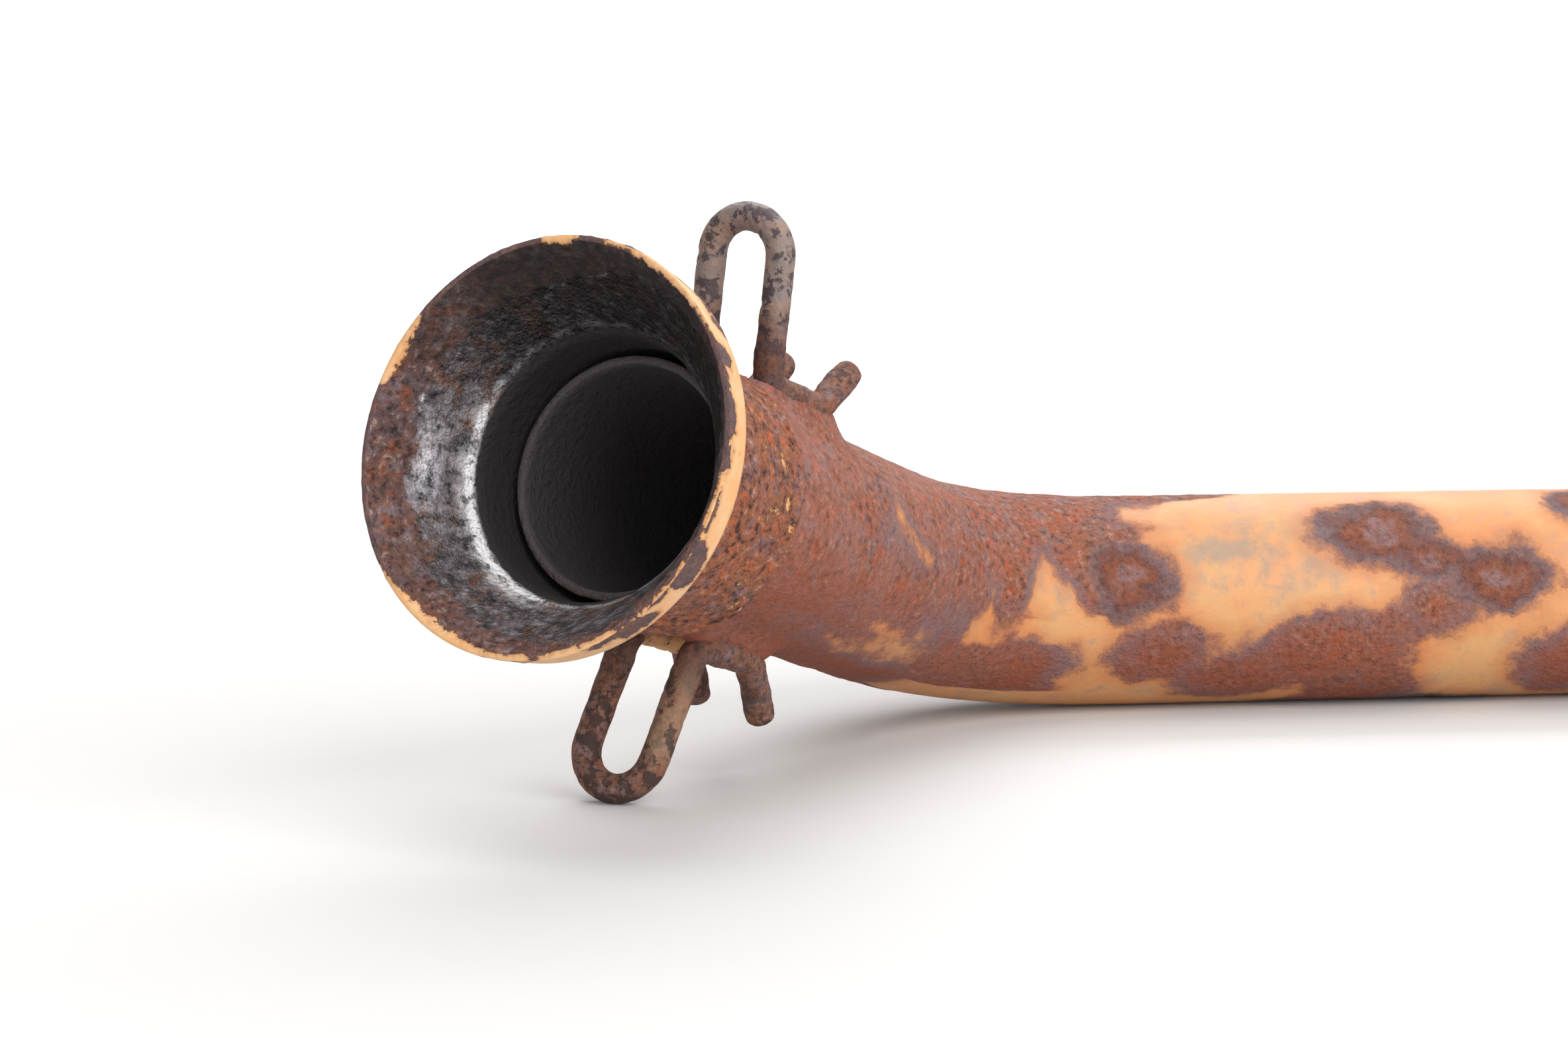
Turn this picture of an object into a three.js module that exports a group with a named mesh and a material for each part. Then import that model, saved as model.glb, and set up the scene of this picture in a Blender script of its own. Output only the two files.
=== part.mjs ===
import * as THREE from 'three';

// A bent steel exhaust pipe with a flared slip collar on its inlet and a wire spring hook on each side of it.
// Millimetres, +Z up. It lies as it comes to rest: on its straight run and on the lower hook's loop.

const degrees = Math.PI / 180;

// Pipe
const pipeDiameter = 42.7;
const pipeWall = 1.6;
const bendRadius = 64;
const bendAngle = 55.5 * degrees;
const straightRun = 443.2;
const pipeSides = 40;
const bendSteps = 9;

// Flared collar, from its rim back to where it closes on the pipe
const rimDiameter = 71.1;
const rimFaceWidth = 1.1;
const lipLength = 6.5;
const lipTaper = 0.7;
const coneHalfAngle = 33.5 * degrees;
const coneWall = 1.8;
const throatFillet = 4;
const collarWall = 1.6;
const slipGap = 1.35;
const slipLength = 27.5;
const pipeRecess = 8;
const neckLength = 3;
const neckClearance = 0.3;
const sealLength = 2.5;
const sealFoot = 0.9;
const collarSides = 60;

// Spring hooks, each one rod bent into a loop with two feet along the pipe and two pegs behind them
const rodDiameter = 4.8;
const footClearance = 0.3;
const legSpacing = 14.2;
const footLength = 19;
const footBendRadius = 4.5;
const hookSetback = 5.5;
const hookToBend = 48.3;
const rodSides = 14;
const upperHook = {
  angle: 17.5 * degrees,
  loopHeight: 33,
  lean: 13 * degrees,
  pegLength: 12.5,
  pegAngle: 43 * degrees,
};
const lowerHook = {
  angle: 202.4 * degrees,
  loopHeight: 33,
  lean: 5.5 * degrees,
  pegLength: 13.5,
  pegAngle: 46 * degrees,
};

// Sizes that follow from those above
const pipeRadius = pipeDiameter / 2;
const rimRadius = rimDiameter / 2;
const rodRadius = rodDiameter / 2;
const boreRadius = pipeRadius + slipGap;
const collarRadius = boreRadius + collarWall;
const rimInnerRadius = rimRadius - rimFaceWidth;
const throatDepth = (rimInnerRadius - boreRadius) / Math.tan(coneHalfAngle);
const pipeInset = throatDepth + pipeRecess;
const collarRear = throatDepth + slipLength;
const collarEnd = collarRear + sealLength;
const footStart = collarEnd + hookSetback;
const bendInset = footStart + footLength + hookToBend;

// A path given by rings set along it, so that each ring of an extrusion lies just where it is wanted.
class RingPath extends THREE.Curve {
  constructor(rings) {
    super();
    this.rings = rings;
    this.steps = rings.length - 1;
  }

  getUtoTmapping(u) {
    return u;
  }

  getPoint(t, target = new THREE.Vector3()) {
    const place = t * this.steps;
    const index = Math.min(Math.floor(place), this.steps - 1);
    return target.lerpVectors(this.rings[index].point, this.rings[index + 1].point, place - index);
  }

  getTangent(t, target = new THREE.Vector3()) {
    return target.copy(this.rings[Math.round(t * this.steps)].tangent);
  }
}

// Runs through the corners in straight lines, with each inner corner rounded to its radius.
function roundedPath(corners, radii, arcSteps) {
  const rings = [];
  const addRing = (point, tangent) => {
    const last = rings[rings.length - 1];
    if (!last || last.point.distanceTo(point) > 1e-6) {
      rings.push({ point, tangent });
    }
  };
  const direction = (index) => corners[index + 1].clone().sub(corners[index]).normalize();
  addRing(corners[0].clone(), direction(0));
  for (let i = 1; i < corners.length - 1; i++) {
    const before = direction(i - 1);
    const after = direction(i);
    const turn = before.angleTo(after);
    const axis = before.clone().cross(after).normalize();
    const cut = radii[i - 1] * Math.tan(turn / 2);
    const start = corners[i].clone().addScaledVector(before, -cut);
    const centre = start.clone().addScaledVector(axis.clone().cross(before), radii[i - 1]);
    const steps = Math.max(1, Math.round(arcSteps * turn / (Math.PI / 2)));
    for (let step = 0; step <= steps; step++) {
      const angle = turn * step / steps;
      const point = start.clone().sub(centre).applyAxisAngle(axis, angle).add(centre);
      addRing(point, before.clone().applyAxisAngle(axis, angle));
    }
  }
  addRing(corners[corners.length - 1].clone(), direction(corners.length - 2));
  return new RingPath(rings);
}

function circleOutline(OutlineClass, radius, sides) {
  const points = [];
  for (let i = 0; i < sides; i++) {
    const angle = 2 * Math.PI * i / sides;
    points.push(new THREE.Vector2(radius * Math.cos(angle), radius * Math.sin(angle)));
  }
  return new OutlineClass(points);
}

function rustySteel(color, roughness) {
  return new THREE.MeshStandardMaterial({ color, roughness, metalness: 0.35 });
}

function namedMesh(name, geometry, material) {
  const mesh = new THREE.Mesh(geometry, material);
  mesh.name = name;
  return mesh;
}

// The mouth's own frame: the rim's plane is y = 0, +y runs back into the pipe and z is square to the bend's plane.
function mouthFrame() {
  const mouth = new THREE.Group();
  const inward = new THREE.Vector3(Math.cos(bendAngle), Math.sin(bendAngle), 0);
  const bendTop = new THREE.Vector3(-bendRadius * Math.sin(bendAngle), -bendRadius * (1 - Math.cos(bendAngle)), 0);
  mouth.position.copy(bendTop).addScaledVector(inward, -bendInset);
  mouth.rotation.z = bendAngle - Math.PI / 2;
  return mouth;
}

// The pipe is one tube, from its front end inside the collar, round the bend, to its plain cut end on +X.
function bentPipe(mouth) {
  mouth.updateMatrixWorld();
  const frontEnd = mouth.localToWorld(new THREE.Vector3(0, pipeInset, 0));
  const bendCorner = new THREE.Vector3(-bendRadius * Math.tan(bendAngle / 2), 0, 0);
  const cutEnd = new THREE.Vector3(straightRun, 0, 0);
  const path = roundedPath([frontEnd, bendCorner, cutEnd], [bendRadius], bendSteps / (bendAngle / (Math.PI / 2)));
  const wall = circleOutline(THREE.Shape, pipeRadius, pipeSides);
  wall.holes.push(circleOutline(THREE.Path, pipeRadius - pipeWall, pipeSides));
  const geometry = new THREE.ExtrudeGeometry(wall, { steps: path.steps, extrudePath: path });
  return namedMesh('bent_pipe', geometry, rustySteel(0x8a6253, 0.8));
}

// The collar is one turned body: a thick lip, a conical flare, and a sleeve that slips over the pipe and closes on it.
function flaredCollar() {
  const neckRadius = pipeRadius + neckClearance;
  const slope = Math.tan(coneHalfAngle);
  const outerRim = rimInnerRadius + coneWall / Math.cos(coneHalfAngle);
  const cut = throatFillet * Math.tan(coneHalfAngle / 2);
  const throatCentre = new THREE.Vector2(boreRadius + throatFillet, throatDepth + cut);
  const profile = [
    new THREE.Vector2(rimInnerRadius, 0),
    new THREE.Vector2(rimRadius, 0),
    new THREE.Vector2(rimRadius - lipTaper, lipLength),
    new THREE.Vector2(outerRim - slope * lipLength, lipLength),
    new THREE.Vector2(collarRadius, (outerRim - collarRadius) / slope),
    new THREE.Vector2(collarRadius, collarRear),
    new THREE.Vector2(neckRadius + sealFoot, collarEnd),
    new THREE.Vector2(neckRadius, collarEnd),
    new THREE.Vector2(neckRadius, collarRear - neckLength),
    new THREE.Vector2(boreRadius, collarRear - neckLength - slipGap),
  ];
  const filletSteps = 4;
  for (let i = 0; i <= filletSteps; i++) {
    const angle = Math.PI + coneHalfAngle * i / filletSteps;
    profile.push(new THREE.Vector2(
      throatCentre.x + throatFillet * Math.cos(angle),
      throatCentre.y + throatFillet * Math.sin(angle),
    ));
  }
  profile.push(profile[0].clone());
  return namedMesh('flared_collar', new THREE.LatheGeometry(profile, collarSides), rustySteel(0x7c5a4c, 0.85));
}

// A hook's rod, in a frame turned about the mouth's axis so that z runs out from the pipe through the hook's middle.
function hookPath(hook) {
  const halfSpacing = legSpacing / 2;
  const footReach = pipeRadius + footClearance + rodRadius;
  const footHeight = Math.sqrt(footReach ** 2 - halfSpacing ** 2);
  const legRise = (hook.loopHeight + pipeRadius - rodRadius - footHeight) / Math.cos(hook.lean);
  const rising = new THREE.Vector3(0, -Math.sin(hook.lean), Math.cos(hook.lean));
  const pegging = new THREE.Vector3(0, Math.sin(hook.pegAngle), Math.cos(hook.pegAngle));
  const side = (x) => {
    const knee = new THREE.Vector3(x, footStart, footHeight);
    const heel = new THREE.Vector3(x, footStart + footLength, footHeight);
    const tip = heel.clone().addScaledVector(pegging, hook.pegLength);
    const top = knee.clone().addScaledVector(rising, legRise);
    return [tip, heel, knee, top];
  };
  const corners = [...side(-halfSpacing), ...side(halfSpacing).reverse()];
  const radii = [footBendRadius, footBendRadius, halfSpacing, halfSpacing, footBendRadius, footBendRadius];
  return roundedPath(corners, radii, 6);
}

function springHook(name, hook) {
  const path = hookPath(hook);
  const section = circleOutline(THREE.Shape, rodRadius, rodSides);
  const geometry = new THREE.ExtrudeGeometry(section, { steps: path.steps, extrudePath: path });
  const mesh = namedMesh(name, geometry, rustySteel(0x8b7466, 0.7));
  mesh.rotation.y = hook.angle;
  return mesh;
}

// The turn about the straight run that brings the lower hook's loop down to the floor that the pipe lies on.
function floorTurn(lowerMesh) {
  lowerMesh.updateWorldMatrix(true, false);
  const reach = pipeRadius - rodRadius;
  const turns = hookPath(lowerHook).rings.map(({ point }) => {
    const place = point.clone().applyMatrix4(lowerMesh.matrixWorld);
    const distance = Math.hypot(place.y, place.z);
    return -Math.atan2(place.y, place.z) - Math.acos(-reach / distance);
  });
  return Math.max(...turns);
}

const part = new THREE.Group();
const body = new THREE.Group();
const mouth = mouthFrame();
const lowerMesh = springHook('lower_spring_hook', lowerHook);
body.add(bentPipe(mouth), mouth);
mouth.add(flaredCollar(), springHook('upper_spring_hook', upperHook), lowerMesh);
body.rotation.x = -floorTurn(lowerMesh);
part.add(body);

// The origin is under the middle of the part's bounding box, on the floor.
part.updateMatrixWorld(true);
const bounds = new THREE.Box3().setFromObject(part, true);
const middle = bounds.getCenter(new THREE.Vector3());
body.position.set(-middle.x, -middle.y, -bounds.min.z);

export default part;
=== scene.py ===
import math
import bpy
import numpy as np
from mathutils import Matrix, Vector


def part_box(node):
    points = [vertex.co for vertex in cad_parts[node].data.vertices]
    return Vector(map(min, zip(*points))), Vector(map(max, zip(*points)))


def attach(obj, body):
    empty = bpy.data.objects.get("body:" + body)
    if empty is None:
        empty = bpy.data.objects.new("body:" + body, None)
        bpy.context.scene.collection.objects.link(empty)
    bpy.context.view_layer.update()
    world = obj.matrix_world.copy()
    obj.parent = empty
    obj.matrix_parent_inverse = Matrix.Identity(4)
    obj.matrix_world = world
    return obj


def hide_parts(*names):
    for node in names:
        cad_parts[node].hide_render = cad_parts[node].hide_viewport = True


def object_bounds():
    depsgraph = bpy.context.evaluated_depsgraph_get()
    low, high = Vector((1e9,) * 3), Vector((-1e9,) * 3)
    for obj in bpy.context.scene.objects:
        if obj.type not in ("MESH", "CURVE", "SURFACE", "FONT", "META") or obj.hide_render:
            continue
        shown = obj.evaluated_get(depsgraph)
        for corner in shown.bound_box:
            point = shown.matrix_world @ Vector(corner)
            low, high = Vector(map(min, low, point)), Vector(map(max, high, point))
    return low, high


# A rusty bent exhaust pipe with a flared slip collar on its inlet and a spring hook on each side of it.
# Shapes are worked out in mm in the frame's own axes and turned to metres when a mesh is made.
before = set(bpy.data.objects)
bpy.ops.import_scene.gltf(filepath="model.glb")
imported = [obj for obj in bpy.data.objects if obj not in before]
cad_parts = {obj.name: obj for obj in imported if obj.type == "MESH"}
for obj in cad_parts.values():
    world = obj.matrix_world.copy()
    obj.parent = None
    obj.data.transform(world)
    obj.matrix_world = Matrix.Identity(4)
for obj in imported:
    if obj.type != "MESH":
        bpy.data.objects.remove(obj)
cadLow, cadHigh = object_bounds()
boxLow = np.array(cadLow) * 1000
boxHigh = np.array(cadHigh) * 1000
print("frame loaded with", ", ".join(sorted(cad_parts)))

# Large primes that mix a lattice corner's whole numbers into one that looks random.
scatter = (73856093, 19349663, 83492791, 9176489, 1274126177)


def latticeNoise(points, seed):
    # A random value at each whole-numbered corner, blended inside the cell by 3t^2 - 2t^3 along each axis.
    cell = np.floor(points).astype(np.int64)
    part = points - cell
    part = part * part * (3 - 2 * part)
    total = np.zeros(points.shape[:-1])
    for corner in np.ndindex(2, 2, 2):
        x, y, z = np.moveaxis(cell + np.array(corner), -1, 0)
        mixed = x * scatter[0] ^ y * scatter[1] ^ z * scatter[2] ^ seed * scatter[3]
        mixed = (mixed ^ mixed >> 13) & 0xffffffff
        mixed = mixed * scatter[4] & 0xffffffff
        value = (mixed >> 12 & 0xffff) / 32767.5 - 1
        total += np.where(corner, part, 1 - part).prod(-1) * value
    return total


def layeredNoise(points, size, seed, layers=3, roughness=0.5):
    # Lattice noise at a size in mm, then at half of it and so on, each layer weaker by the roughness.
    total = np.zeros(points.shape[:-1])
    for layer in range(layers):
        total += roughness ** layer * latticeNoise(points / size * 2 ** layer + 17.3 * layer, seed + layer)
    return total


def smoothStep(low, high, values):
    # 0 below low, 1 above high, and 3t^2 - 2t^3 between them.
    t = np.clip((values - low) / (high - low), 0, 1)
    return t * t * (3 - 2 * t)


def turnApart(turn, middle):
    # The shorter way round from the middle to a turn, in degrees, from -180 to 180.
    return (turn - middle + 180) % 360 - 180


def surfacePiece(name, points, material, maps, tipPoints=None):
    # A grid of points (rows, columns) in mm becomes a closed mesh. Columns always join round. Rows join
    # round too, or each end closes in a fan on its tip point. Maps are numbers for each point that the
    # material reads.
    rows, columns = points.shape[:2]
    index = np.arange(rows * columns).reshape(rows, columns)
    beside = np.roll(index, -1, 1)
    if tipPoints is None:
        quads = np.stack([index, beside, np.roll(beside, -1, 0), np.roll(index, -1, 0)], -1).reshape(-1, 4)
        fans = np.zeros((0, 3), int)
        places = points.reshape(-1, 3)
    else:
        quads = np.stack([index[:-1], beside[:-1], beside[1:], index[1:]], -1).reshape(-1, 4)
        first = rows * columns
        startFan = np.stack([beside[0], index[0], np.full(columns, first)], -1)
        endFan = np.stack([index[-1], beside[-1], np.full(columns, first + 1)], -1)
        fans = np.concatenate([startFan, endFan])
        places = np.concatenate([points.reshape(-1, 3), tipPoints])
    places = np.clip(places, boxLow, boxHigh)
    corners = places[quads]
    facing = np.cross(corners[:, 1], corners[:, 2]) + np.cross(corners[:, 2], corners[:, 3])
    if np.einsum("ij,ij->", corners[:, 0], facing) < 0:  # the volume inside says which way the faces point
        quads = quads[:, ::-1]
        fans = fans[:, ::-1]
    mesh = bpy.data.meshes.new(name)
    mesh.from_pydata((places / 1000).tolist(), [], quads.tolist() + fans.tolist())
    mesh.polygons.foreach_set("use_smooth", np.ones(len(mesh.polygons), bool))
    for mapName, values in maps.items():
        values = np.broadcast_to(values, (rows, columns))
        if tipPoints is not None:
            values = np.concatenate([values.ravel(), [values[0].mean(), values[-1].mean()]])
        attribute = mesh.attributes.new(mapName, "FLOAT", "POINT")
        attribute.data.foreach_set("value", values.astype(np.float32).ravel())
    mesh.materials.append(material)
    piece = bpy.data.objects.new(name, mesh)
    bpy.context.scene.collection.objects.link(piece)
    print(f"{name}: {2 * len(quads) + len(fans)} triangles")
    return piece


def linear(hexColour):
    # An sRGB hex colour as linear red, green, blue and alpha.
    parts = [int(hexColour[i:i + 2], 16) / 255 for i in (1, 3, 5)]
    return [p / 12.92 if p <= 0.04045 else ((p + 0.055) / 1.055) ** 2.4 for p in parts] + [1.0]


def addNode(tree, kind, inputs, output=0, stops=(), **settings):
    # Adds a node with its settings and links and gives back one of its outputs. An input is a value, an sRGB
    # hex colour or another node's output, and stops are a ramp's places and colours. By number, a Map Range
    # takes 1 to 2 over to 3 to 4, and a colour Mix goes from 6 to 7 by the share in 0.
    node = tree.nodes.new("ShaderNode" + kind)
    for key, value in settings.items():
        setattr(node, key, value)
    for key, value in inputs.items():
        if isinstance(value, bpy.types.NodeSocket):
            tree.links.new(value, node.inputs[key])
        else:
            node.inputs[key].default_value = linear(value) if isinstance(value, str) else value
    for number, (place, colour) in enumerate(stops):
        ramp = node.color_ramp.elements
        element = ramp[number] if number < 2 else ramp.new(place)
        element.position = place
        element.color = linear(colour)
    return node.outputs[output] if len(node.outputs) else node


# The bent pipe. It sits where the frame's own pipe does: its cut end, its side and the floor give its place.
pipe = dict(
    radius=21.35,
    wall=1.6,
    frontEnd=25.75,  # behind the rim, along the centre line
    bendStart=120.55,
    bendRadius=64.0,
    bendAngle=math.radians(55.5),
    straightRun=443.2,
    bendTilt=math.radians(-20.5766),  # how far the bend's plane leans from level
    columns=136,
    collarCell=2.0,  # mm between the rings that the collar covers
    clearFrom=44.0,
    clearCell=1.0,  # and between those that the photograph shows
    clearTo=292.0,
    farCell=1.7,
    deepBore=140.0,
    deepCell=6.0,
    boreCell=4.0,
    outerRound=0.3,  # how far the ends' edges are rounded, outside and in the bore
    boreRound=0.25,
)
pipeBox = [np.array(corner) * 1000 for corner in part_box("bent_pipe")]
runAxis = np.array([1.0, 0.0, 0.0])
sideAxis = np.array([0.0, math.cos(pipe["bendTilt"]), math.sin(pipe["bendTilt"])])
upAxis = np.array([0.0, -math.sin(pipe["bendTilt"]), math.cos(pipe["bendTilt"])])
bendEnd = np.array([pipeBox[1][0] - pipe["straightRun"], pipeBox[1][1] - pipe["radius"], pipe["radius"]])
sinBend = math.sin(pipe["bendAngle"])
cosBend = math.cos(pipe["bendAngle"])
backAxis = cosBend * runAxis + sinBend * sideAxis  # from the rim back into the pipe
innerAxis = sinBend * runAxis - cosBend * sideAxis  # from the mouth's axis towards the bend's centre
bendTop = bendEnd - pipe["bendRadius"] * (sinBend * runAxis + (1 - cosBend) * sideAxis)
mouthCentre = bendTop - pipe["bendStart"] * backAxis
bendLength = pipe["bendRadius"] * pipe["bendAngle"]
cutEnd = pipe["bendStart"] + bendLength + pipe["straightRun"]
degreeMm = pipe["radius"] * math.pi / 180  # mm round the pipe for each degree


def pipeLine(back):
    # The centre line's point, direction and inner side at a way behind the rim: a straight line, an arc and
    # a straight line.
    turn = np.clip((back - pipe["bendStart"]) / pipe["bendRadius"], 0, pipe["bendAngle"])[:, None]
    run = np.cos(turn) * backAxis + np.sin(turn) * innerAxis
    inner = np.cos(turn) * innerAxis - np.sin(turn) * backAxis
    arc = pipe["bendRadius"] * (np.sin(turn) * backAxis + (1 - np.cos(turn)) * innerAxis)
    straight = np.minimum(back, pipe["bendStart"])[:, None] * backAxis
    past = np.maximum(back - pipe["bendStart"] - bendLength, 0)[:, None] * run
    return mouthCentre + straight + arc + past, run, inner


def tubePoints(back, radius, turns):
    # Circles carried along the centre line: 0 degrees is square to the bend's plane and 90 degrees is on the
    # bend's inner side.
    middle, _, inner = pipeLine(back)
    angle = np.radians(turns)[None, :, None]
    outward = np.cos(angle) * upAxis + np.sin(angle) * inner[:, None]
    return middle[:, None] + np.asarray(radius)[..., None] * outward


# Where the paint is gone and rust has come up in rings, then where it is plainly rusted, then patches of
# paint. Each is its middle in mm behind the rim and degrees round the pipe, and its half length in mm and
# half width in degrees.
ringedSpots = [(180, 92, 12, 23), (233, 64, 13, 23), (243, 82, 9, 14), (257, 92, 12, 24), (281, 46, 11, 22)]
plainSpots = [
    (163, 88, 5, 11), (244, 110, 9.5, 18), (222, 136, 18, 27), (230, 166, 13, 26), (236, 122, 8, 14),
    (187, 134, 13, 18), (204, 152, 14, 21), (155, 143, 13, 15), (130, 148, 17, 17), (275, 146, 15, 27),
    (296, 160, 20, 34)]
paintPatches = [
    (139, 124, 8, 2.5), (88, 88, 2.4, 5), (91, 93, 2.0, 2), (98, 96, 3, 2.5), (100, 138, 6, 3),
    (106, 145, 8, 4), (98, 151, 6, 3.5), (112, 155, 7, 2.5), (95, 160, 6, 2.5), (186, 50, 5, 9),
    (103, 140, 5, 2), (110, 150, 6, 2), (90, 156, 5, 1.8)]
# Painted peaks widen from a point down the pipe's side: the point, then the foot's middle, both in mm and
# degrees, and the foot's half length in mm.
paintPeaks = [(154.5, 83, 159, 117, 13), (131, 107, 131, 127, 6.5)]
# The painted stretch starts at this way behind the rim, by degrees round the pipe.
paintEdge = [
    (-60, 214), (-25, 204), (8, 209), (28, 205), (35, 191), (43, 186), (52, 183), (60, 187), (76, 183),
    (96, 180), (110, 176), (115, 147), (126, 146), (130, 163), (163, 164), (169, 122), (188, 118),
    (205, 152), (222, 190), (250, 204), (300, 214)]
hiddenSpots = dict(
    count=64,
    start=190.0,  # mm behind the rim
    seenTo=288.0,
    seenMiddle=95.0,  # degrees round to the middle of the side that the camera sees
    seenHalf=100.0,
    smallest=3.5,  # mm, half their length
    largest=34.0,
    slimmest=0.5,  # their width as a part of their length
    widest=0.8,
    seed=11,
)
pipeRelief = dict(
    lumpSize=5.5,  # mm
    rustLumps=0.16,
    rustDip=0.05,
    paintLumps=0.03,
    boreLumps=0.05,
    sunk=0.10,  # the bare surface lies this far inside the CAD's, so that its lumps stand about level with it
)
# How far the wear's outlines stray along and round the pipe, and the sizes of what moves them, all in mm. The
# far side's edge of the paint strays most.
pipeStray = dict(
    size=11, along=1.6, swaySize=10, around=2.2, rippleSize=3.2, rippleAlong=0.5, rippleAround=0.7,
    hiddenSize=26, hidden=9)
seamWeld = dict(place=47.9, spread=1.3, height=0.55)  # the bead behind the collar, in mm
greyStain = dict(place=206, halfLength=19, turn=76, halfTurn=27)  # where heat has greyed the paint
frontSoot = 0.97  # how sooty the pipe's front edge is, beside the bore


def spotDistance(back, turn, spots):
    # For each point the least of its distances from the spots' middles, in half widths, and how far inside
    # a spot it lies in mm, which is one less that distance times the spot's smaller half width.
    nearest = np.full(np.broadcast(back, turn).shape, 9.0)
    inside = np.full(nearest.shape, -99.0)
    for middle, middleTurn, length, width in spots:
        away = np.hypot((back - middle) / length, turnApart(turn, middleTurn) / width)
        nearest = np.minimum(nearest, away)
        inside = np.maximum(inside, (1 - away) * min(length, width * degreeMm))
    return nearest, inside


def peakCover(back, turn):
    # How far inside a peak each point lies, in mm: the peak's half length at that turn less the way from its
    # middle, with its point and its foot cut off.
    cover = np.full(np.broadcast(back, turn).shape, -99.0)
    for tipBack, tipTurn, footBack, footTurnAt, half in paintPeaks:
        down = (turn - tipTurn) / (footTurnAt - tipTurn)
        inside = half * np.clip(down, 0, 1.05) - np.abs(back - tipBack - (footBack - tipBack) * down)
        cover = np.maximum(cover, np.minimum(inside, np.minimum(down * 8, (1.04 - down) * 12)))
    return cover


def unseenSpots():
    # Spots past the photograph's edge and round the far side, spread evenly at random from a seed.
    chance = np.random.default_rng(hiddenSpots["seed"])
    count = hiddenSpots["count"]
    middles = chance.uniform(hiddenSpots["start"], cutEnd, count)
    turns = chance.uniform(0, 360, count)
    growth = hiddenSpots["largest"] / hiddenSpots["smallest"]
    sizes = hiddenSpots["smallest"] * growth ** chance.uniform(0, 1, count)
    widths = sizes / degreeMm * chance.uniform(hiddenSpots["slimmest"], hiddenSpots["widest"], count)
    facing = np.abs(turnApart(turns, hiddenSpots["seenMiddle"])) < hiddenSpots["seenHalf"]
    seen = (middles < hiddenSpots["seenTo"]) & facing
    return [spot for spot, inView in zip(zip(middles, turns, sizes, widths), seen) if not inView]


# The spring hooks: one rod each, with two feet welded along the pipe and two pegs behind them.
hookRod = dict(
    radius=2.65,  # a 2.4 mm rod under a quarter of a millimetre of rust and paint
    clearance=0.3,
    legSpacing=14.2,
    footStart=53.25,
    footLength=19.0,
    footBend=4.5,
    bendSteps=24,
    ringGap=0.42,
    columns=44,
    tipRound=0.9,
    tipShare=0.80,  # how wide the rod's end is beside its own thickness
    lumpSize=2.8,
    legLumps=0.06,
    footLumps=0.16,
    footSwell=0.10,
    rustTop=15,  # mm above the feet, where the foot's rust ends and where it is full
    rustFull=3,
    pitSize=1.8,
    pitStart=0.35,
    pitDepth=0.30,
)
upperHook = dict(
    angle=17.5, loopHeight=33.0, lean=13.0, pegLength=12.5, pegAngle=43.0, weld=4.3, spread=4.4, seed=80)
lowerHook = dict(
    angle=202.4, loopHeight=33.0, lean=5.5, pegLength=13.5, pegAngle=46.0, weld=3.2, spread=3.5, seed=95)
footReach = pipe["radius"] + hookRod["clearance"] + hookRod["radius"]
footTurn = math.degrees(math.asin(hookRod["legSpacing"] / 2 / footReach))
hookWeld = dict(pastHeel=1.8, webHeight=1.1, webSpread=6.0, webStretch=0.75)  # the web lies between the feet


def weldHeight(back, turn):
    # Weld and rust swell up beside each foot as a bell curve of the distance from the foot's line on the
    # pipe, which they outrun a little at its heel.
    height = np.zeros(np.broadcast(back, turn).shape)
    half = (hookRod["footLength"] + hookWeld["pastHeel"]) / 2
    middle = hookRod["footStart"] + half
    for hook in (upperHook, lowerHook):
        for side in (-footTurn, footTurn):
            beyond = np.maximum(np.abs(back - middle) - half, 0)
            away = np.hypot(beyond, turnApart(turn, hook["angle"] + side) * degreeMm)
            height = np.maximum(height, hook["weld"] * np.exp(-(away / hook["spread"]) ** 2))
        away = np.hypot((back - middle) * hookWeld["webStretch"], turnApart(turn, hook["angle"]) * degreeMm)
        height = np.maximum(height, hookWeld["webHeight"] * np.exp(-(away / hookWeld["webSpread"]) ** 4))
    return height


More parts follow.
